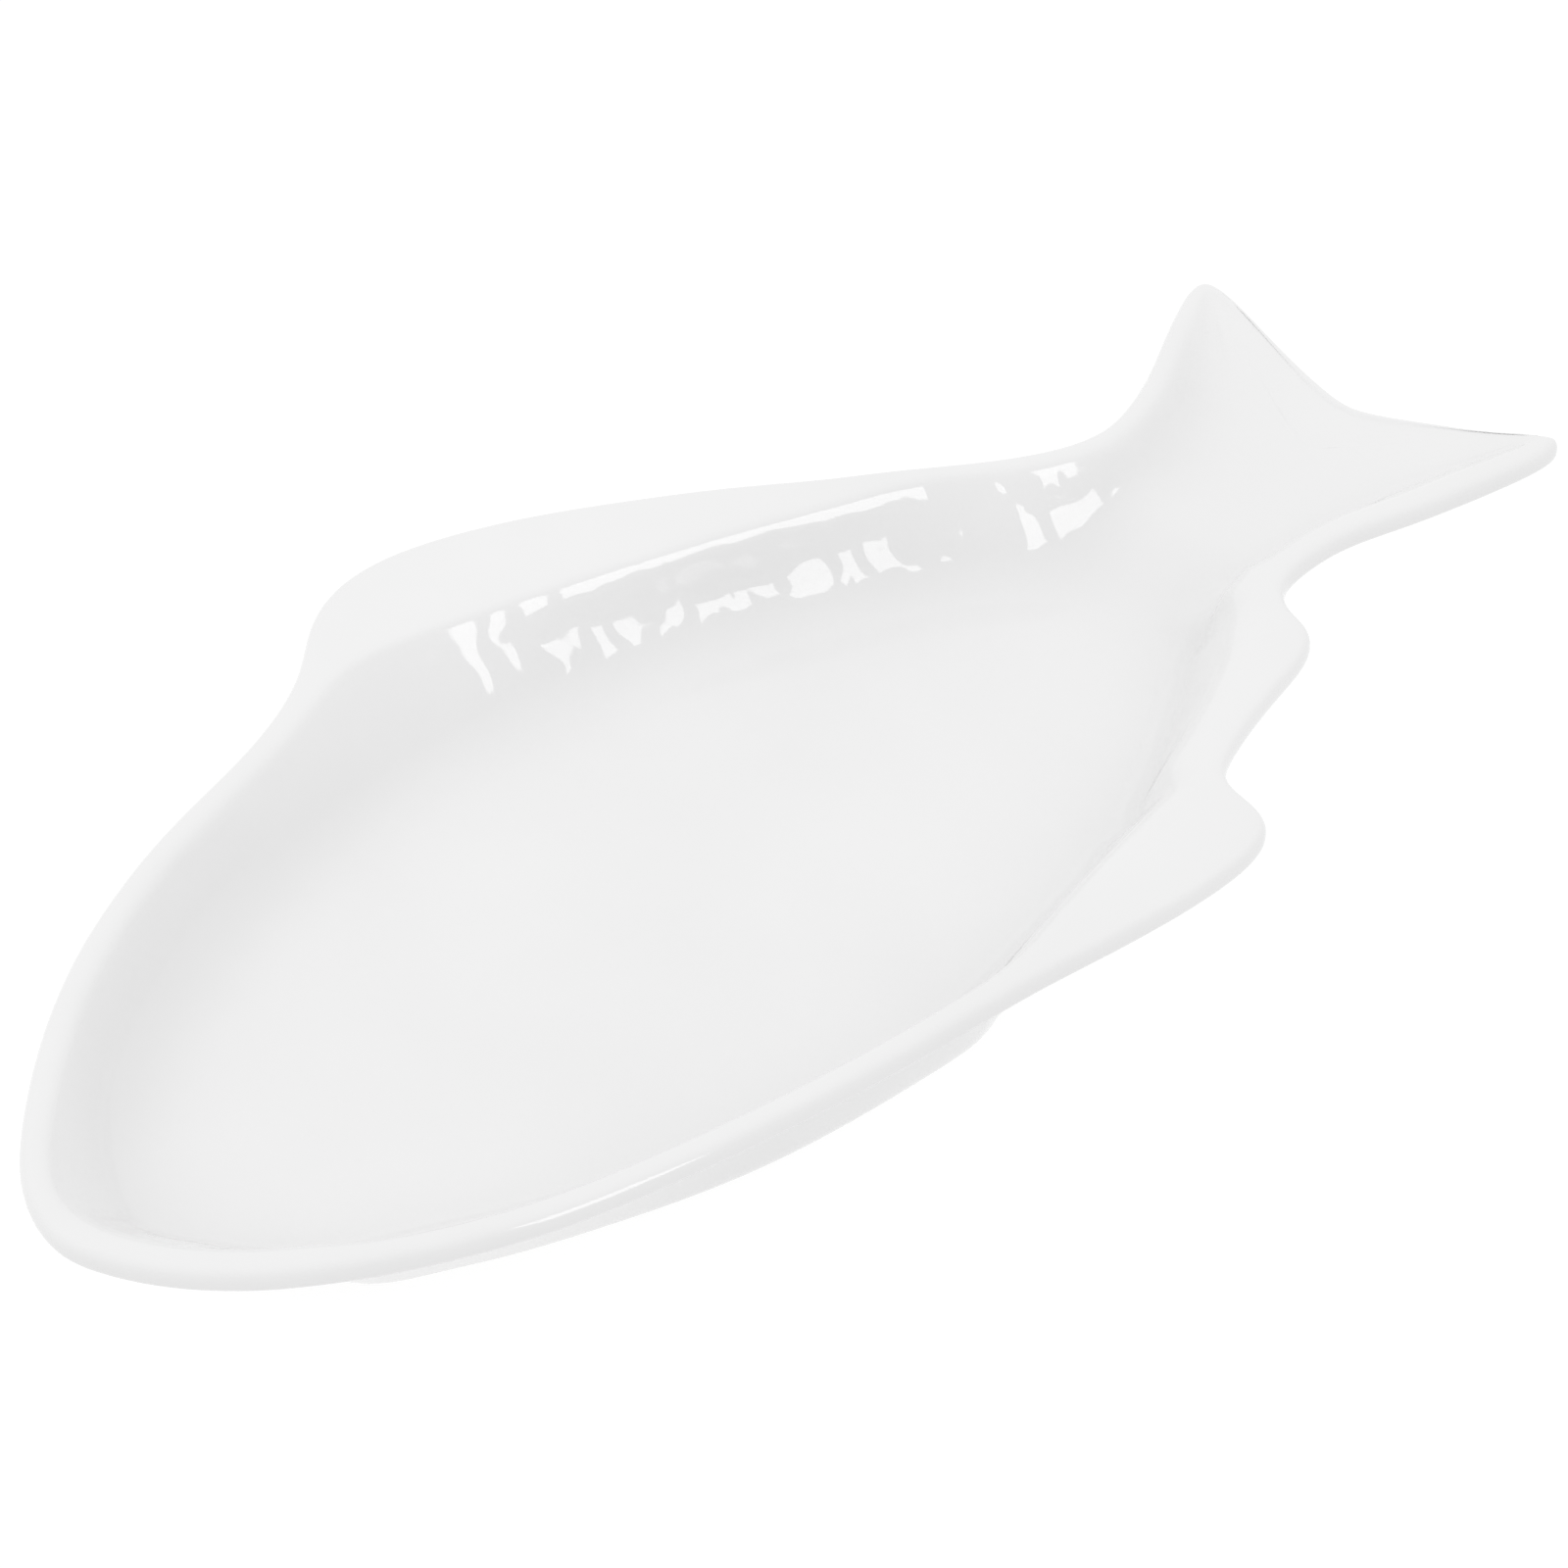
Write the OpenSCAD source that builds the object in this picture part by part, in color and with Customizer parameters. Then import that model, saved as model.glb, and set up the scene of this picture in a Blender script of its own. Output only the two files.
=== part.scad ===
// Fish shaped serving platter of glazed ceramic.
// The nose points along -X, the back and its fin along +Y, and the foot stands on Z = 0.

/* [Overall size] */
// Length from the nose to the tail tips
length = 305; // [240:5:400]
// Width of the body between its two edges, with the fins left out
body_width = 138; // [110:2:180]
// Height from the table to the top of the rim
rim_height = 24; // [20:1:40]

/* [Tail] */
// Length of the tail, from its narrow root to the tips
tail_length = 50; // [40:1:70]
// Width of the tail between its two tips
tail_width = 78; // [64:1:110]
// Depth of the tail below the rim, where the slope from the well ends
tail_depth = 8.5; // [5:0.5:12]
// Depth of the fork in the tail's back edge, below the rim
fork_depth = 4; // [1:0.5:5]
// Length of the slope between the well and the tail
ramp_length = 24; // [16:1:36]

/* [Fins] */
// How far the back fin stands out from the body
back_fin_reach = 16.5; // [8:0.5:26]
// How far the belly fin stands out from the body
belly_fin_reach = 10; // [5:0.5:16]
// How far the rear fin stands out from the body
rear_fin_reach = 4; // [2:0.5:8]

/* [Wall] */
// Thickness of the rim, the fins and the tail's edge
edge_thickness = 4.2; // [3.5:0.1:6]
// Rounding along the rim's outer edge
edge_radius = 1.6; // [0.8:0.1:1.7]
// Width of the lip round the well, from the rim's edge to where the wall turns down
lip_width = 2.5; // [2.2:0.1:3.5]
// Thickness of the well's wall
wall_thickness = 5; // [3.5:0.25:6]
// How far the wall leans inwards between the lip and the floor
wall_run = 16; // [12:0.5:20]
// Rounding where the lip turns down into the well
mouth_radius = 2.8; // [1.5:0.1:4]
// Rounding where the wall meets the floor
floor_radius = 12; // [6:0.5:20]
// Rounding where the lip rolls over into the gentler slopes at the nose, by the belly's fins and in the tail
rolled_mouth_radius = 7; // [4:0.5:14]
// Rounding where those gentler slopes meet the floor
rolled_floor_radius = 7; // [2:0.5:10]
// Rounding where the outside of the wall meets the base
base_radius = 9; // [5:0.5:12]
// Thickness of the floor
floor_thickness = 4.5; // [3.5:0.1:6]

/* [Foot] */
// Height of the foot under the floor
foot_height = 3; // [1.5:0.25:5]
// Width of the foot's bare face
foot_width = 5; // [3:0.25:8]
// How far the foot lies inside the edge of the base
foot_inset = 3; // [2:0.25:6]
// How far the foot ends before the slope to the tail
foot_gap = 12; // [8:0.5:20]

/* [Smoothness] */
// Columns of facets along each side of the fish
side_columns = 84; // [60:2:88]

/* [Hidden] */

glaze_colour = "#f1f1f0";
bisque_colour = "#ddd6c8";

// Sizes that follow from the ones above
tail_x = length - tail_length;
well_depth = rim_height - foot_height - floor_thickness;
ramp_start = tail_x - ramp_length;
foot_end = ramp_start - foot_gap;

// Facets round the curves of the section, and rings across the floor and the base
mouth_steps = 3;
floor_steps = 6;
edge_steps = 3;
floor_ring_shares = [0.75, 0.5, 0.25];
base_ring_shares = [0.35, 0.7];

// First and last column that close on the axis by themselves, as shares of a side
nose_hub_share = 0.19;
tail_hub_share = 0.81;

// Places on the edge round the nose: along the body, across the body, width of the lip, run of the wall
nose_shares = [
    [0.003, -0.016, 1, 1.5],
    [0.007, -0.047, 1, 1.52],
    [0.015, -0.086, 1, 1.5],
    [0.028, -0.130, 1, 1.46],
    [0.045, -0.169, 1, 1.41],
    [0.064, -0.206, 1, 1.37],
    [0.086, -0.236, 1, 1.36]
];

// The same on the belly's edge, from the nose to the belly fin
belly_shares = [
    [0.108, -0.267, 1, 1.42],
    [0.157, -0.318, 1, 1.47],
    [0.210, -0.360, 1, 1.43],
    [0.269, -0.387, 1, 1.32],
    [0.326, -0.410, 1, 1.19],
    [0.382, -0.428, 1, 1.12],
    [0.442, -0.444, 1, 1.13],
    [0.508, -0.455, 1.1, 1.14],
    [0.545, -0.461, 1.2, 1.12]
];

// The same along the belly fin, with the fin's reach along and across the body
belly_fin_shares = [
    [0.595, -0.455, 1.5, 1.08, 0, -0.32],
    [0.654, -0.435, 1.6, 1.07, 0.08, -0.8],
    [0.695, -0.422, 1.6, 1.07, 0.15, -1],
    [0.719, -0.415, 1.6, 1.1, 0.18, -1.01],
    [0.733, -0.410, 1.6, 1.17, 0.3, -0.87],
    [0.744, -0.405, 1.5, 1.18, 0.22, -0.47],
    [0.753, -0.398, 1.4, 1, 0.05, -0.14]
];

// Places between the belly fin and the rear fin
belly_rear_shares = [
    [0.760, -0.384, 1.3, 0.95],
    [0.772, -0.366, 1.3, 0.98],
    [0.791, -0.352, 1.4, 1.05],
    [0.822, -0.334, 1.6, 1.11]
];

// Places along the rear fin
rear_fin_shares = [
    [0.853, -0.313, 1.8, 1.13, 0.2, -0.2],
    [0.875, -0.296, 1.9, 1.12, 0.52, -0.45],
    [0.892, -0.276, 1.8, 1.09, 0.6, -0.75],
    [0.904, -0.262, 1.6, 1.02, 0.6, -0.7],
    [0.913, -0.249, 1.5, 0.9, 0.45, -0.35],
    [0.921, -0.233, 1.3, 0.74, 0.15, -0.1]
];

// Places from the rear fin to the root of the tail
belly_root_shares = [
    [0.931, -0.213, 1.1, 0.64],
    [0.944, -0.195, 1, 0.61],
    [0.967, -0.186, 0.95, 0.68],
    [1.000, -0.186, 0.9, 0.72]
];

// Places on the back's edge, from beside the nose to the back fin
back_shares = [
    [0.007, 0.035, 1, 1.36],
    [0.024, 0.098, 1, 1.22],
    [0.055, 0.157, 1, 1.1],
    [0.088, 0.212, 1, 1.03],
    [0.122, 0.262, 1, 1],
    [0.159, 0.308, 1, 1],
    [0.197, 0.347, 1, 1],
    [0.235, 0.378, 1, 1],
    [0.272, 0.405, 1, 1.01],
    [0.311, 0.426, 1, 1.04],
    [0.351, 0.444, 1.1, 1.08],
    [0.391, 0.466, 1.2, 1.13],
    [0.431, 0.498, 1.3, 1.2]
];

// Places along the back fin
back_fin_shares = [
    [0.464, 0.522, 1.5, 1.3, -0.04, 0.11],
    [0.490, 0.530, 1.8, 1.31, -0.05, 0.42],
    [0.525, 0.523, 2, 1.24, -0.05, 0.77],
    [0.560, 0.507, 2, 1.16, 0, 0.96],
    [0.595, 0.490, 1.85, 1.09, 0.05, 1.01],
    [0.655, 0.451, 1.5, 1.04, 0.11, 0.95],
    [0.713, 0.410, 1.2, 1, 0.16, 0.7],
    [0.772, 0.367, 1, 1.01, 0.18, 0.45],
    [0.818, 0.328, 0.95, 1.06, 0.13, 0.2],
    [0.855, 0.305, 0.9, 1.13, 0.05, 0.08]
];

// Places from the back fin to the root of the tail
back_root_shares = [
    [0.888, 0.273, 0.9, 1.16],
    [0.914, 0.235, 0.9, 1.15],
    [0.943, 0.200, 0.9, 1.07],
    [0.973, 0.174, 0.9, 0.97],
    [1.000, 0.168, 0.9, 0.89]
];

// Parts of the tail's width that lie on the belly's and on the back's side
belly_tip_share = -0.47;
back_tip_share = 0.53;

// Places on the tail's sides, from the root to the tip: along the tail, flare, lip, wall run
belly_tail_shares = [
    [0.09, 0.07, 0.9, 0.77],
    [0.185, 0.18, 0.9, 0.8],
    [0.365, 0.455, 0.9, 0.82],
    [0.565, 0.665, 0.9, 0.8],
    [0.76, 0.865, 0.9, 0.68],
    [0.89, 0.945, 0.9, 0.5],
    [0.965, 0.93, 0.9, 0.35]
];
back_tail_shares = [
    [0.10, 0.055, 0.9, 0.78],
    [0.225, 0.155, 0.9, 0.79],
    [0.37, 0.32, 0.9, 0.8],
    [0.51, 0.52, 0.9, 0.8],
    [0.647, 0.715, 0.9, 0.75],
    [0.787, 0.89, 0.9, 0.68],
    [0.90, 1.015, 0.9, 0.5],
    [0.962, 0.957, 0.9, 0.35]
];

// Places on the tail's back edge, from tip to fork: along the tail, across to the tip, lip, wall run
belly_fork_shares = [
    [1.025, 0.93, 0.9, 0.3],
    [0.955, 0.79, 0.9, 0.3],
    [0.885, 0.55, 0.9, 0.3],
    [0.832, 0.29, 0.9, 0.3],
    [0.76, 0.03, 0.9, 0.3]
];
back_fork_shares = [
    [0.965, 0.885, 0.9, 0.3],
    [0.92, 0.70, 0.9, 0.3],
    [0.837, 0.40, 0.9, 0.3],
    [0.777, 0.105, 0.9, 0.3]
];

// A station is a place on the edge:
// x, y, lip width, wall run, fin reach in x and y, open edge or not, rolled slope or not
function body_station(r, rolled) =
    [r[0] * tail_x, r[1] * body_width, r[2] * lip_width, r[3] * wall_run, 0, 0, 0, rolled];
function fin_station(r, reach, rolled) =
    [r[0] * tail_x, r[1] * body_width, r[2] * lip_width, r[3] * wall_run, r[4] * reach, r[5] * reach, 0, rolled];
function side_station(r, root_y, tip_y, rolled) =
    [tail_x + r[0] * tail_length, root_y + r[1] * (tip_y - root_y), r[2] * lip_width, r[3] * wall_run,
        0, 0, 0, rolled];
function fork_station(r, tip_y) =
    [tail_x + r[0] * tail_length, r[1] * tip_y, r[2] * lip_width, r[3] * wall_run, 0, 0, 1, 0];
function last(v) = v[len(v) - 1];
function reverse(v) = [for (i = [len(v) - 1:-1:0]) v[i]];

belly_root_y = last(belly_root_shares)[1] * body_width;
back_root_y = last(back_root_shares)[1] * body_width;
belly_tip_y = belly_tip_share * tail_width;
back_tip_y = back_tip_share * tail_width;

belly_side = concat(
    [for (r = nose_shares) body_station(r, 1)],
    [for (r = belly_shares) body_station(r, 0)],
    [for (r = belly_fin_shares) fin_station(r, belly_fin_reach, 1)],
    [for (r = belly_rear_shares) body_station(r, 1)],
    [for (r = rear_fin_shares) fin_station(r, rear_fin_reach, 1)],
    [for (r = belly_root_shares) body_station(r, 1)],
    [for (r = belly_tail_shares) side_station(r, belly_root_y, belly_tip_y, 1)],
    [for (r = belly_fork_shares) fork_station(r, belly_tip_y)]
);
back_side = concat(
    [for (r = back_shares) body_station(r, 0)],
    [for (r = back_fin_shares) fin_station(r, back_fin_reach, 0)],
    [for (r = back_root_shares) body_station(r, 0)],
    [for (r = back_tail_shares) side_station(r, back_root_y, back_tip_y, 0)],
    [for (r = back_fork_shares) fork_station(r, back_tip_y)]
);
stations = concat(belly_side, reverse(back_side));
fork_row = len(belly_side) - 1;

// Smooth closed curve through the stations' hull, a uniform cubic spline
function wrap(v, i) = v[(i + len(v)) % len(v)];
function spline(v, t) =
    let (i = floor(t), u = t - i)
    (pow(1 - u, 3) * wrap(v, i - 1)
        + (3 * u * u * u - 6 * u * u + 4) * wrap(v, i)
        + (1 + 3 * u + 3 * u * u - 3 * u * u * u) * wrap(v, i + 1)
        + u * u * u * wrap(v, i + 2)) / 6;

// Columns run from the nose along the belly to the fork, and back along the back to the nose
columns = 2 * side_columns;
function row_at(k) = k <= side_columns
    ? fork_row * k / side_columns
    : fork_row + (len(stations) - fork_row) * (k - side_columns) / side_columns;
stops = [for (k = [0:columns - 1]) spline(stations, row_at(k))];

function edge_at(k) = let (s = wrap(stops, k)) [s[0], s[1]];
function rim_at(k) = let (s = wrap(stops, k)) [s[0] + s[4], s[1] + s[5]];
function lip_at(k) = wrap(stops, k)[2];
function run_at(k) = wrap(stops, k)[3];
function rolled_at(k) = wrap(stops, k)[7];
function unit(v) = v / norm(v);
function turned_in(v) = unit([-v[1], v[0]]);

// Each column heads inwards to its place on the fish's axis
nose_hub = round(nose_hub_share * side_columns);
tail_hub = round(tail_hub_share * side_columns);
function axis_step(k) = min(max(min(k, columns - k), nose_hub), tail_hub);
function axis_at(k) = let (a = axis_step(k)) [(edge_at(a)[0] + edge_at(columns - a)[0]) / 2, 0];
least_slant = 0.6;
function heading(k) =
    let (d = unit(axis_at(k) - edge_at(k)), n = turned_in(edge_at(k + 1) - edge_at(k - 1)))
    d / max(d * n, least_slant);
headings = [for (k = [0:columns - 1]) heading(k)];
function inside(k, w) = edge_at(k) + headings[k] * w;

// Depth of the floor below the rim
function clamp01(t) = min(max(t, 0), 1);
function eased(t) = t * t * (3 - 2 * t);
function between(a, b, t) = a + (b - a) * t;
fork_x = last(belly_side)[0];
function floor_depth(p) =
    let (ramp = eased(clamp01((p[0] - ramp_start) / ramp_length)))
    let (rise = pow(max((p[0] - tail_x) / (fork_x - tail_x), 0), 2))
    let (along = well_depth - (well_depth - tail_depth) * ramp - (tail_depth - fork_depth) * rise)
    let (out = clamp01((p[0] - tail_x) / tail_length))
    max(along, 0) * (1 - out * clamp01(pow(p[1] / (tail_width / 2), 2)));

// The tail's back edge is open: its floor runs out to the edge, with no wall
function open_at(k) = clamp01(wrap(stops, k)[6]);
function rim_drop(k) = open_at(k) * floor_depth(rim_at(k));

// A wall that leaves one level, rounds down, leans and rounds out into the next:
// its places as [distance in, drop]. A shallow wall is two long arcs
least_drop_share = 0.001;
longest_arc_share = 0.98;
function wall(w, h, r_top, r_low) =
    let (down = h < 0 ? -1 : 1, drop = max(abs(h), w * least_drop_share), wanted = r_top + r_low)
    let (fits = longest_arc_share * (w * w + drop * drop) / (2 * drop))
    let (scale = min(fits / wanted, max(1, w / (2 * drop))), r1 = r_top * scale, r2 = r_low * scale, r = r1 + r2)
    let (a = asin(r / sqrt(w * w + pow(r - drop, 2))) - atan2(r - drop, w))
    concat(
        [for (i = [0:mouth_steps]) let (b = a * i / mouth_steps) [r1 * sin(b), down * r1 * (1 - cos(b))]],
        [for (i = [0:floor_steps]) let (b = a * (1 - i / floor_steps))
            [w - r2 * sin(b), down * (drop - r2 * (1 - cos(b)))]]
    );

// Where the wall's outside starts under the lip, and where it reaches the base,
// which a rolled slope does right under its foot
under_flat_share = 0.25;
under_start = edge_radius * (1 + under_flat_share);
function base_in(k) = lip_at(k) + run_at(k) - wall_thickness * (1 - rolled_at(k));

// One column's points, from the floor over the wall, the lip and the edge, and back under to the base
function raised(p, z) = [p[0], p[1], z];
function floor_point(p) = raised(p, -floor_depth(p));
function base_point(p) = raised(p, -floor_depth(p) - floor_thickness);
function column(k) =
    let (top = -rim_drop(k), low = top - edge_thickness, lip = lip_at(k), run = run_at(k))
    let (foot_of_wall = inside(k, lip + run), base_edge = inside(k, base_in(k)))
    let (turn = between(mouth_radius, rolled_mouth_radius, rolled_at(k)))
    let (sweep = between(floor_radius, rolled_floor_radius, rolled_at(k)))
    let (well_wall = wall(run, floor_depth(foot_of_wall) + top, turn, sweep))
    let (under_drop = floor_depth(base_edge) + floor_thickness + low)
    let (under_wall = wall(base_in(k) - under_start, under_drop, edge_radius, base_radius))
    let (rim = rim_at(k), n = turned_in(rim_at(k + 1) - rim_at(k - 1)))
    concat(
        [for (s = floor_ring_shares) floor_point(foot_of_wall + (axis_at(k) - foot_of_wall) * s)],
        [for (w = reverse(well_wall)) let (p = inside(k, lip + w[0]))
            raised(p, (1 - open_at(k)) * (top - w[1]) - open_at(k) * floor_depth(p))],
        [for (i = [0:edge_steps]) let (b = 90 * i / edge_steps)
            raised(rim + n * edge_radius * (1 - sin(b)), top - edge_radius * (1 - cos(b)))],
        [for (i = [0:edge_steps]) let (b = 90 * i / edge_steps)
            raised(rim + n * edge_radius * (1 - cos(b)), low + edge_radius * (1 - sin(b)))],
        [for (w = under_wall) raised(inside(k, under_start + w[0]), low - w[1])],
        [for (s = base_ring_shares) base_point(base_edge + (axis_at(k) - base_edge) * s)]
    );

// Faces between neighbouring columns, and from the inmost points to the axis
rows = len(column(0));
function spot(k, j) = (k % columns) * rows + j;
axis_steps = tail_hub - nose_hub + 1;
function floor_axis(k) = columns * rows + axis_step(k % columns) - nose_hub;
function base_axis(k) = floor_axis(k) + axis_steps;
function quad_or_fan(a, b, c, d) = a == b ? [[a, c, d]] : c == d ? [[a, b, c]] : [[a, b, c], [a, c, d]];

// Middle of the rim's box, which becomes the part's origin
rim_line = [for (k = [0:columns - 1]) rim_at(k)];
rim_xs = [for (p = rim_line) p[0]];
rim_ys = [for (p = rim_line) p[1]];
middle = [(min(rim_xs) + max(rim_xs)) / 2, (min(rim_ys) + max(rim_ys)) / 2];

module platter_body() {
    axis_points = [for (a = [nose_hub:tail_hub]) axis_at(a)];
    points = concat(
        [for (k = [0:columns - 1]) each column(k)],
        [for (p = axis_points) floor_point(p)],
        [for (p = axis_points) base_point(p)]
    );
    faces = [for (k = [0:columns - 1]) each concat(
        quad_or_fan(floor_axis(k), floor_axis(k + 1), spot(k + 1, 0), spot(k, 0)),
        [for (j = [0:rows - 2]) each quad_or_fan(spot(k, j), spot(k + 1, j), spot(k + 1, j + 1), spot(k, j + 1))],
        quad_or_fan(spot(k, rows - 1), spot(k + 1, rows - 1), base_axis(k + 1), base_axis(k))
    )];
    color(glaze_colour)
        translate([-middle[0], -middle[1], rim_height])
            polyhedron(points, faces);
}

// Outline of the foot: it keeps inside the edge of the base and is rounded off before the slope
foot_end_share = 0.3;
foot_turn = foot_end * (1 - foot_end_share);
foot_step = 6;
foot_facets = 8;
function foot_place(p) =
    let (a = 90 * clamp01((p[0] - foot_turn) / (foot_end - foot_turn)))
    [min(p[0], foot_turn) + (foot_end - foot_turn) * sin(a), p[1] * cos(a)];
foot_places = [for (k = [0:foot_step:columns - 1])
    let (p = inside(k, base_in(k) + foot_inset)) if (p[0] < foot_end) foot_place(p)];
foot_points = len(foot_places) * foot_facets;
foot_line = [for (i = [0:foot_points - 1]) spline(foot_places, i / foot_facets)];
foot_inner_line = [for (i = [0:foot_points - 1])
    foot_line[i] + turned_in(wrap(foot_line, i + 1) - wrap(foot_line, i - 1)) * foot_width];

module foot_ring() {
    color(bisque_colour)
        translate([-middle[0], -middle[1], 0])
            linear_extrude(foot_height)
                difference() {
                    polygon(foot_line);
                    polygon(foot_inner_line);
                }
}

platter_body();
foot_ring();
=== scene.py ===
"""Fish shaped serving platter: glossy white glaze, bare foot, and the studio it stands in."""

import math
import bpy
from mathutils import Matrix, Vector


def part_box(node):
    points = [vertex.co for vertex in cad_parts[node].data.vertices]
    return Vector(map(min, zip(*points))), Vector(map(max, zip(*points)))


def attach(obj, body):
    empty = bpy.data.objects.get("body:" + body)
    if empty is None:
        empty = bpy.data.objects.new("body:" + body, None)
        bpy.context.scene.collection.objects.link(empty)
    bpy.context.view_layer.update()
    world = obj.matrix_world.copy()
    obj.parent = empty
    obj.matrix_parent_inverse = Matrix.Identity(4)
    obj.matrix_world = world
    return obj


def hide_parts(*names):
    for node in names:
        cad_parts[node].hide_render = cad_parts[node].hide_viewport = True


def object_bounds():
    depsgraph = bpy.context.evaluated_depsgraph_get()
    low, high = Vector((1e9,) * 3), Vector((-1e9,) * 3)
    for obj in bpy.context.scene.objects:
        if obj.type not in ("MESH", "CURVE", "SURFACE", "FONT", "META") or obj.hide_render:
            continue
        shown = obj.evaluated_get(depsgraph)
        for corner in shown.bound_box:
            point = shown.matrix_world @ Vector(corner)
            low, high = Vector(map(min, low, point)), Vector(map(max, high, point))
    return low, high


bl_info = {
    "name": "Fish Shaped Platter",
    "version": (1, 0, 0),
    "blender": (4, 5, 0),
    "location": "View3D > Sidebar > Platter",
    "description": "Dresses a fish shaped serving platter in glaze and sets up its studio",
    "category": "Object",
}

import bmesh
import bpy
from mathutils import Vector

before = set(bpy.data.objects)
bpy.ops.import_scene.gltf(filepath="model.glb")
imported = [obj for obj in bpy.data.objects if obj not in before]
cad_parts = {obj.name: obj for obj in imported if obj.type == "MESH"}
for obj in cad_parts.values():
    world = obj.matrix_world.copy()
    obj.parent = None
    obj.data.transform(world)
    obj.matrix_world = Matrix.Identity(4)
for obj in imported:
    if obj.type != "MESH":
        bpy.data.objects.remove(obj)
CAD_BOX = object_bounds()
RIM = CAD_BOX[1][2]

# Fixed measures, in metres

SAME_POINT = 1e-6
SAME_LEVEL = 1e-5
DRIFT_SIZE = 0.045
GLAZE_GRAIN_SIZE = 0.0025
CLOUD_SIZE = 0.02
GRAIN_DEPTH = 0.0001

# Where the relief on the back's wall fades in, in metres: the place of no effect and that of full effect

BACK_FADE = (0, 0.015)
HEAD_FADE = (-0.025, 0.005)
HOLLOW_FADE = (RIM - 0.0015, RIM - 0.008)
RIM_FADE_LENGTH = 0.0025
FOOT_FADE_LENGTH = 0.002

# Places of the studio's lamps and camera, in metres

SOFTBOX_PLACE = Vector((-0.26, 0.32, 0.7))
WINDOW_PLACE = Vector((0.14, -2.67, 1.36))
WINDOW_WIDTH = 0.9
WINDOW_HEIGHT = 1.5
CAMERA_PLACE = (-0.48952, -0.46214, 0.5298)
CAMERA_TURN = (math.radians(52.48), 0, math.radians(-47.04))
FOCAL_LENGTH_MM = 123.75


# Settings that a user would change

class PlatterGlazeSettings(bpy.types.PropertyGroup):
    """The glazed body's surface"""

    smoothing: bpy.props.IntProperty(
        name="Smoothing", description="Levels of smoothing on the body's surface", default=1, min=0, max=2)
    rib_width: bpy.props.FloatProperty(
        name="Rib width", description="Width of the soft ribs that run down the back's wall",
        default=0.0068, min=0.001, max=0.1, precision=4, subtype="DISTANCE", unit="LENGTH")
    rib_height: bpy.props.FloatProperty(
        name="Rib height", description="Height of the soft ribs that run down the back's wall",
        default=0.00017, min=0, max=0.002, precision=5, subtype="DISTANCE", unit="LENGTH")
    wave_size: bpy.props.FloatProperty(
        name="Wave size", description="Size of the soft waves in the glaze",
        default=0.005, min=0.001, max=0.1, precision=4, subtype="DISTANCE", unit="LENGTH")
    wave_height: bpy.props.FloatProperty(
        name="Wave height", description="Height of the soft waves in the glaze",
        default=0.0004, min=0, max=0.005, precision=5, subtype="DISTANCE", unit="LENGTH")
    wall_hollow: bpy.props.FloatProperty(
        name="Wall hollow", description="How far the back's wall falls away under its upper edge",
        default=0.0008, min=0, max=0.005, precision=5, subtype="DISTANCE", unit="LENGTH")
    wave_top: bpy.props.FloatProperty(
        name="Wave top", description="How far under the rim the waves in the glaze have faded out",
        default=0.0005, min=0, max=0.01, precision=4, subtype="DISTANCE", unit="LENGTH")
    wave_foot: bpy.props.FloatProperty(
        name="Wave foot", description="How far over the table the waves in the glaze have faded out",
        default=0.0075, min=0, max=0.02, precision=4, subtype="DISTANCE", unit="LENGTH")
    colour: bpy.props.FloatVectorProperty(
        name="Glaze colour", description="Colour of the white glaze",
        default=(0.876, 0.875, 0.876), size=3, min=0, max=1, subtype="COLOR")
    roughness: bpy.props.FloatProperty(
        name="Roughness", description="Roughness of the glaze", default=0.06, min=0, max=1,
        subtype="FACTOR")


class PlatterFootSettings(bpy.types.PropertyGroup):
    """The bare clay foot"""

    edge_rounding: bpy.props.FloatProperty(
        name="Edge rounding", description="Rounding along the foot's lower edges",
        default=0.0008, min=0.0001, max=0.002, precision=4, subtype="DISTANCE", unit="LENGTH")
    colour: bpy.props.FloatVectorProperty(
        name="Clay colour", description="Colour of the bare fired clay",
        default=(0.72, 0.66, 0.57), size=3, min=0, max=1, subtype="COLOR")
    grain_size: bpy.props.FloatProperty(
        name="Grain size", description="Size of the grain in the bare clay",
        default=0.0006, min=0.0001, max=0.005, precision=4, subtype="DISTANCE", unit="LENGTH")


class PlatterStudioSettings(bpy.types.PropertyGroup):
    """Floor, light and camera"""

    floor_width: bpy.props.FloatProperty(
        name="Floor width", description="Width of the studio floor", default=8, min=1, max=20,
        subtype="DISTANCE", unit="LENGTH")
    floor_colour: bpy.props.FloatVectorProperty(
        name="Floor colour", description="Colour of the studio floor",
        default=(0.8, 0.8, 0.8), size=3, min=0, max=1, subtype="COLOR")
    floor_glow: bpy.props.FloatProperty(
        name="Floor glow", description="Share of the floor that glows by itself, the rest takes the shadow",
        default=0.75, min=0, max=1, subtype="FACTOR")
    glow_level: bpy.props.FloatProperty(
        name="Glow level", description="Brightness of the floor's glow on the platter",
        default=0.85, min=0, max=1)
    white_level: bpy.props.FloatProperty(
        name="White level", description="Brightness of the floor's glow to the eye and in reflections",
        default=1.15, min=0, max=2)
    room_level: bpy.props.FloatProperty(
        name="Room level", description="Brightness of the room's even light", default=0.965, min=0, max=2)
    softbox_power: bpy.props.FloatProperty(
        name="Softbox power", description="Power of the softbox overhead", default=0.4, min=0,
        max=100, subtype="POWER", unit="POWER")
    softbox_width: bpy.props.FloatProperty(
        name="Softbox width", description="Width of the softbox overhead", default=0.5, min=0.1,
        max=4, subtype="DISTANCE", unit="LENGTH")
    window_power: bpy.props.FloatProperty(
        name="Window power", description="Power of the window that only mirrors in the glaze",
        default=15, min=0, max=100, subtype="POWER", unit="POWER")


# Shared helpers

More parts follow.
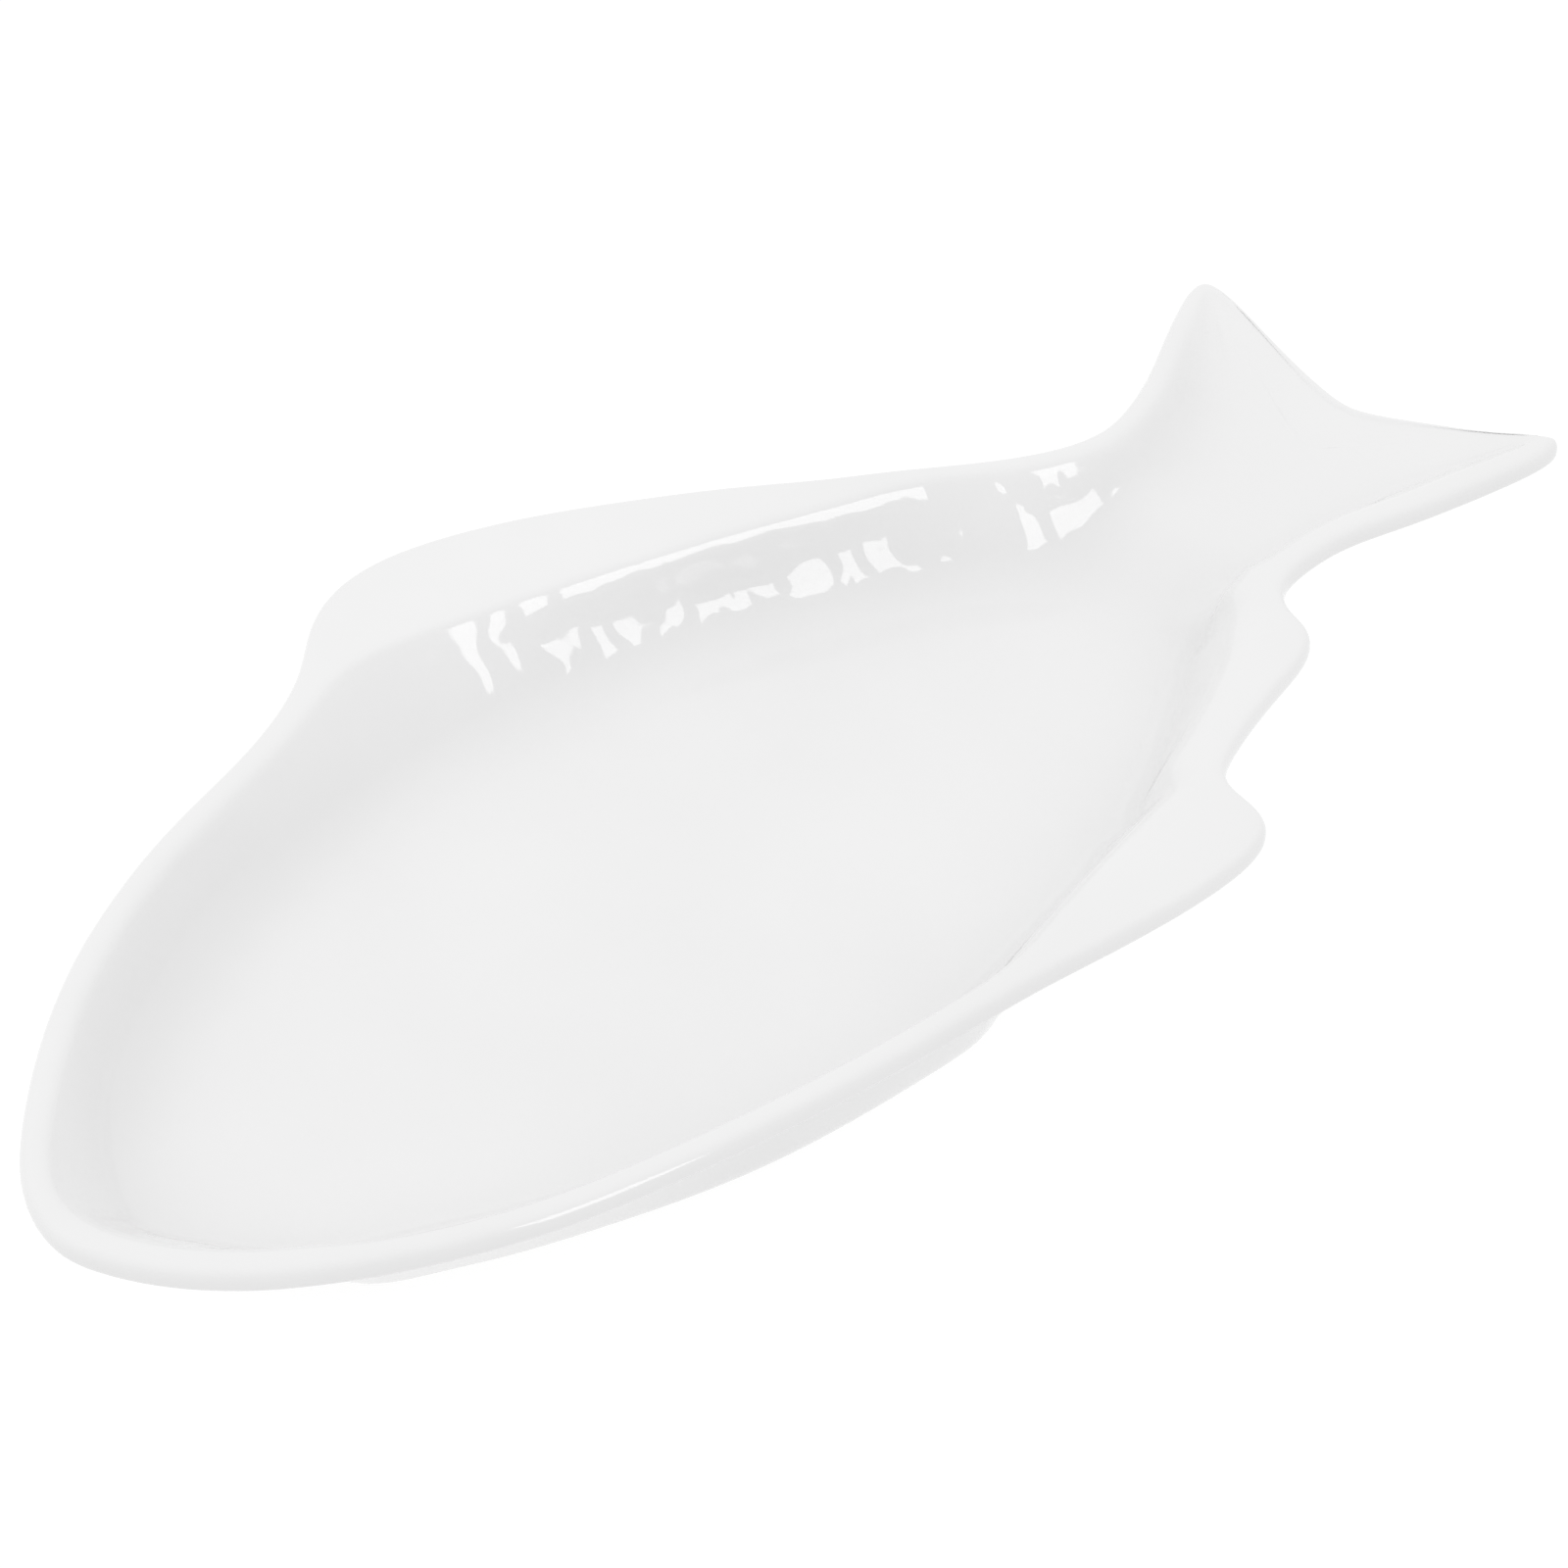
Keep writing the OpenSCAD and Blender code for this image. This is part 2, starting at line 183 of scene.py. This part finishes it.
def merged_copy(node):
    """Starts a bmesh from a solid of the frame, with its loose triangles joined up."""
    shape = bmesh.new()
    shape.from_mesh(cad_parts[node].data)
    bmesh.ops.remove_doubles(shape, verts=shape.verts, dist=SAME_POINT)
    return shape


def finished_piece(shape, name, node, material):
    """Turns a bmesh into a smooth shaded piece that stands for one solid of the frame."""
    bmesh.ops.recalc_face_normals(shape, faces=shape.faces)
    mesh = bpy.data.meshes.new(name)
    shape.to_mesh(mesh)
    shape.free()
    mesh.polygons.foreach_set("use_smooth", [True] * len(mesh.polygons))
    piece = bpy.data.objects.new(name, mesh)
    bpy.context.scene.collection.objects.link(piece)
    mesh.materials.append(material)
    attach(piece, "root")
    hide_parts(node)
    return piece


def new_material(name):
    """A node material with its output and shader in place."""
    material = bpy.data.materials.new(name)
    material.use_nodes = True
    nodes = material.node_tree.nodes
    nodes.clear()
    output = nodes.new("ShaderNodeOutputMaterial")
    output.location = (600, 0)
    shader = nodes.new("ShaderNodeBsdfPrincipled")
    shader.location = (300, 0)
    material.node_tree.links.new(shader.outputs["BSDF"], output.inputs["Surface"])
    return material, shader


def object_place(tree, x, y):
    """The place of each point on the object, in metres."""
    place = tree.nodes.new("ShaderNodeTexCoord")
    place.location = (x, y)
    return place.outputs["Object"]


def noise(tree, place, size, detail, x, y):
    """A noise of a given real size."""
    node = tree.nodes.new("ShaderNodeTexNoise")
    node.location = (x, y)
    node.inputs["Scale"].default_value = 1 / size
    node.inputs["Detail"].default_value = detail
    tree.links.new(place, node.inputs["Vector"])
    return node.outputs["Fac"]


def toned(tree, value, span, colour, shade, x, y):
    """A colour that drifts to a darker shade of itself towards the low end of a value's span."""
    ramp = tree.nodes.new("ShaderNodeValToRGB")
    ramp.location = (x, y)
    dark, full = ramp.color_ramp.elements
    dark.position = span[0]
    dark.color = (*(Vector(colour) * shade), 1)
    full.position = span[1]
    full.color = (*colour, 1)
    tree.links.new(value, ramp.inputs["Fac"])
    return ramp.outputs["Color"]


def bumped(tree, height, distance, x, y):
    """A bump node for a height."""
    bump = tree.nodes.new("ShaderNodeBump")
    bump.location = (x, y)
    bump.inputs["Distance"].default_value = distance
    tree.links.new(height, bump.inputs["Height"])
    return bump


def faded(tree, value, span, x, y, ends=(0, 1), smooth=False):
    """How far a value has come along a span, as a number between the two ends."""
    fade = tree.nodes.new("ShaderNodeMapRange")
    fade.location = (x, y)
    fade.inputs["From Min"].default_value = span[0]
    fade.inputs["From Max"].default_value = span[1]
    fade.inputs["To Min"].default_value = ends[0]
    fade.inputs["To Max"].default_value = ends[1]
    if smooth:
        fade.interpolation_type = "SMOOTHSTEP"
    tree.links.new(value, fade.inputs["Value"])
    return fade.outputs["Result"]


def summed(tree, parts, x, y):
    """The sum of some sockets, each times its own factor."""
    total = None
    for number, (part, factor) in enumerate(parts):
        step = tree.nodes.new("ShaderNodeMath")
        step.operation = "MULTIPLY_ADD"
        step.location = (x, y - 170 * number)
        step.inputs[1].default_value = factor
        step.inputs[2].default_value = 0
        tree.links.new(part, step.inputs[0])
        if total is not None:
            tree.links.new(total, step.inputs[2])
        total = step.outputs[0]
    return total


def paired(tree, operation, first, second, x, y):
    """The result of a math operation on two sockets."""
    node = tree.nodes.new("ShaderNodeMath")
    node.operation = operation
    node.location = (x, y)
    tree.links.new(first, node.inputs[0])
    tree.links.new(second, node.inputs[1])
    return node.outputs[0]


def multiplied(tree, first, second, x, y):
    """The product of two sockets."""
    return paired(tree, "MULTIPLY", first, second, x, y)


def larger(tree, first, second, x, y):
    """The larger of two sockets."""
    return paired(tree, "MAXIMUM", first, second, x, y)


def area_lamp(name, place, width, depth, power):
    """An oblong lamp that faces the platter."""
    light = bpy.data.lights.new(name, "AREA")
    light.shape = "RECTANGLE"
    light.size = width
    light.size_y = depth
    light.energy = power
    lamp = bpy.data.objects.new(name, light)
    lamp.location = place
    lamp.rotation_euler = (-place).to_track_quat("-Z", "Y").to_euler()
    bpy.context.scene.collection.objects.link(lamp)
    return lamp


# Materials

def glaze_material(settings):
    """White body with a faint drift of tone, and a clear glaze in soft waves on the back's wall."""
    material, shader = new_material("white_glaze")
    tree = material.node_tree
    shader.inputs["Specular IOR Level"].default_value = 0
    shader.inputs["Coat Weight"].default_value = 1
    shader.inputs["Coat Roughness"].default_value = settings.roughness
    shader.inputs["Coat IOR"].default_value = 1.5

    place = object_place(tree, -1100, 0)
    drift = noise(tree, place, DRIFT_SIZE, 3, -700, 700)
    tone = toned(tree, drift, (0.3, 0.7), settings.colour, 0.975, -450, 700)
    tree.links.new(tone, shader.inputs["Base Color"])

    grain = noise(tree, place, GLAZE_GRAIN_SIZE, 2, -700, -1000)
    softness = faded(tree, grain, (0.35, 0.65), -450, -1000, ends=(0.45, 0.6))
    tree.links.new(softness, shader.inputs["Roughness"])

    split = tree.nodes.new("ShaderNodeSeparateXYZ")
    split.location = (-900, 50)
    tree.links.new(place, split.inputs["Vector"])
    across, along, up = split.outputs["Y"], split.outputs["X"], split.outputs["Z"]
    top = RIM - settings.wave_top
    foot = settings.wave_foot
    under_rim = faded(tree, up, (top, top - RIM_FADE_LENGTH), -700, 50)
    over_foot = faded(tree, up, (foot, foot + FOOT_FADE_LENGTH), -700, 200)
    on_back = faded(tree, across, BACK_FADE, -700, 350)
    past_head = faded(tree, along, HEAD_FADE, -700, 500)
    on_wall = multiplied(tree, under_rim, over_foot, -500, 100)
    on_long_back = multiplied(tree, on_back, past_head, -500, 400)
    on_back_wall = multiplied(tree, on_long_back, on_wall, -350, 200)

    waves = noise(tree, place, settings.wave_size, 0, -700, -100)
    ribs = tree.nodes.new("ShaderNodeTexWave")
    ribs.location = (-700, -400)
    ribs.inputs["Scale"].default_value = math.pi / 10 / settings.rib_width
    ribs.inputs["Distortion"].default_value = 3
    ribs.inputs["Detail"].default_value = 0
    ribs.inputs["Detail Scale"].default_value = 2.6
    tree.links.new(place, ribs.inputs["Vector"])
    fall = faded(tree, up, HOLLOW_FADE, -700, -750, smooth=True)
    height = summed(tree, (
        (ribs.outputs["Fac"], settings.rib_height),
        (waves, settings.wave_height),
        (fall, -settings.wall_hollow),
    ), -450, -200)
    relief = bumped(tree, height, 1, -200, -200)
    tree.links.new(on_back_wall, relief.inputs["Strength"])
    tree.links.new(relief.outputs["Normal"], shader.inputs["Coat Normal"])
    return material


def bare_clay_material(settings):
    """Bare fired clay: matte, fine grained and a little uneven in tone."""
    material, shader = new_material("bare_clay")
    tree = material.node_tree
    shader.inputs["Roughness"].default_value = 0.85
    place = object_place(tree, -900, 350)
    grain = noise(tree, place, settings.grain_size, 6, -700, 200)
    cloud = noise(tree, place, CLOUD_SIZE, 3, -700, 500)
    blend = summed(tree, ((grain, 0.6), (cloud, 0.4)), -450, 350)
    tone = toned(tree, blend, (0.3, 0.65), settings.colour, 0.82, -200, 350)
    tree.links.new(tone, shader.inputs["Base Color"])
    bump = bumped(tree, grain, GRAIN_DEPTH, 0, -150)
    bump.inputs["Strength"].default_value = 0.6
    tree.links.new(bump.outputs["Normal"], shader.inputs["Normal"])
    return material


def floor_material(settings):
    """Opal table top: glows softly, keeps a faint shadow, and shows white to the eye and in reflections."""
    material = bpy.data.materials.new("studio_floor")
    material.use_nodes = True
    tree = material.node_tree
    tree.nodes.clear()
    output = tree.nodes.new("ShaderNodeOutputMaterial")
    output.location = (600, 0)
    matte = tree.nodes.new("ShaderNodeBsdfDiffuse")
    matte.location = (200, 0)
    matte.inputs["Color"].default_value = (*settings.floor_colour, 1)
    glow = tree.nodes.new("ShaderNodeEmission")
    glow.location = (200, -150)
    both = tree.nodes.new("ShaderNodeMixShader")
    both.location = (400, 0)
    both.inputs["Fac"].default_value = settings.floor_glow
    path = tree.nodes.new("ShaderNodeLightPath")
    path.location = (-600, 0)
    seen = larger(tree, path.outputs["Is Camera Ray"], path.outputs["Is Glossy Ray"], -400, 0)
    seen_too = larger(tree, seen, path.outputs["Is Transmission Ray"], -200, 0)
    level = faded(tree, seen_too, (0, 1), 0, 0, ends=(settings.glow_level, settings.white_level))
    tree.links.new(level, glow.inputs["Strength"])
    tree.links.new(matte.outputs["BSDF"], both.inputs[1])
    tree.links.new(glow.outputs["Emission"], both.inputs[2])
    tree.links.new(both.outputs["Shader"], output.inputs["Surface"])
    return material


# Operators, one for each piece and one for the studio

class PLATTER_OT_glazed_body(bpy.types.Operator):
    """Makes the glazed body of the platter"""

    bl_idname = "platter.glazed_body"
    bl_label = "Glazed Body"

    def execute(self, context):
        settings = context.scene.platter_glaze
        shape = merged_copy("platter_body")
        bmesh.ops.join_triangles(
            shape, faces=shape.faces, angle_face_threshold=math.pi, angle_shape_threshold=math.pi,
            topology_influence=2)
        body = finished_piece(shape, "glazed_body", "platter_body", glaze_material(settings))
        smooth = body.modifiers.new("smooth_surface", "SUBSURF")
        smooth.levels = settings.smoothing
        smooth.render_levels = settings.smoothing
        return {"FINISHED"}


class PLATTER_OT_bare_foot(bpy.types.Operator):
    """Makes the bare clay foot under the platter"""

    bl_idname = "platter.bare_foot"
    bl_label = "Bare Foot"

    def execute(self, context):
        settings = context.scene.platter_foot
        shape = merged_copy("foot_ring")
        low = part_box("foot_ring")[0].z
        lower_edges = [
            edge for edge in shape.edges
            if all(abs(vert.co.z - low) < SAME_LEVEL for vert in edge.verts)
            and len(edge.link_faces) == 2
            and edge.calc_face_angle() > math.radians(45)
        ]
        bmesh.ops.bevel(
            shape, geom=lower_edges, offset=settings.edge_rounding, segments=3, profile=0.5, affect="EDGES",
            material=-1)
        foot = finished_piece(shape, "bare_foot", "foot_ring", bare_clay_material(settings))
        foot.data.set_sharp_from_angle(angle=math.radians(35))
        return {"FINISHED"}


class PLATTER_OT_studio(bpy.types.Operator):
    """Sets up the floor, the light and the camera"""

    bl_idname = "platter.studio"
    bl_label = "Studio"

    def execute(self, context):
        settings = context.scene.platter_studio
        scene = context.scene
        scene.view_settings.view_transform = "Standard"

        shape = bmesh.new()
        bmesh.ops.create_grid(shape, x_segments=1, y_segments=1, size=settings.floor_width / 2)
        mesh = bpy.data.meshes.new("studio_floor")
        shape.to_mesh(mesh)
        shape.free()
        floor = bpy.data.objects.new("studio_floor", mesh)
        scene.collection.objects.link(floor)
        mesh.materials.append(floor_material(settings))

        world = bpy.data.worlds.new("studio_room")
        world.use_nodes = True
        scene.world = world
        room = world.node_tree.nodes["Background"]
        room.inputs["Color"].default_value = (1, 1, 1, 1)
        room.inputs["Strength"].default_value = settings.room_level

        width = settings.softbox_width
        softbox = area_lamp("softbox", SOFTBOX_PLACE, width, width, settings.softbox_power)
        softbox.visible_glossy = False
        window = area_lamp("window", WINDOW_PLACE, WINDOW_WIDTH, WINDOW_HEIGHT, settings.window_power)
        window.visible_diffuse = False

        lens = bpy.data.cameras.new("camera")
        lens.sensor_width = 36
        lens.lens = FOCAL_LENGTH_MM
        lens.clip_start = 0.05
        lens.clip_end = 50
        camera = bpy.data.objects.new("camera", lens)
        camera.location = CAMERA_PLACE
        camera.rotation_euler = CAMERA_TURN
        scene.collection.objects.link(camera)
        scene.camera = camera
        return {"FINISHED"}


class PLATTER_PT_panel(bpy.types.Panel):
    """Lists the platter's pieces and their settings"""

    bl_idname = "PLATTER_PT_panel"
    bl_label = "Fish Shaped Platter"
    bl_space_type = "VIEW_3D"
    bl_region_type = "UI"
    bl_category = "Platter"

    def draw(self, context):
        scene = context.scene
        for settings, operator in (
            (scene.platter_glaze, "platter.glazed_body"),
            (scene.platter_foot, "platter.bare_foot"),
            (scene.platter_studio, "platter.studio"),
        ):
            box = self.layout.box()
            for name in settings.bl_rna.properties.keys():
                if name not in {"rna_type", "name"}:
                    box.prop(settings, name)
            box.operator(operator)


CLASSES = (
    PlatterGlazeSettings,
    PlatterFootSettings,
    PlatterStudioSettings,
    PLATTER_OT_glazed_body,
    PLATTER_OT_bare_foot,
    PLATTER_OT_studio,
    PLATTER_PT_panel,
)


def register():
    for item in CLASSES:
        bpy.utils.register_class(item)
    bpy.types.Scene.platter_glaze = bpy.props.PointerProperty(type=PlatterGlazeSettings)
    bpy.types.Scene.platter_foot = bpy.props.PointerProperty(type=PlatterFootSettings)
    bpy.types.Scene.platter_studio = bpy.props.PointerProperty(type=PlatterStudioSettings)


def unregister():
    del bpy.types.Scene.platter_studio
    del bpy.types.Scene.platter_foot
    del bpy.types.Scene.platter_glaze
    for item in reversed(CLASSES):
        bpy.utils.unregister_class(item)


def main():
    register()
    bpy.ops.platter.glazed_body()
    bpy.ops.platter.bare_foot()
    bpy.ops.platter.studio()


if __name__ == "__main__":
    main()
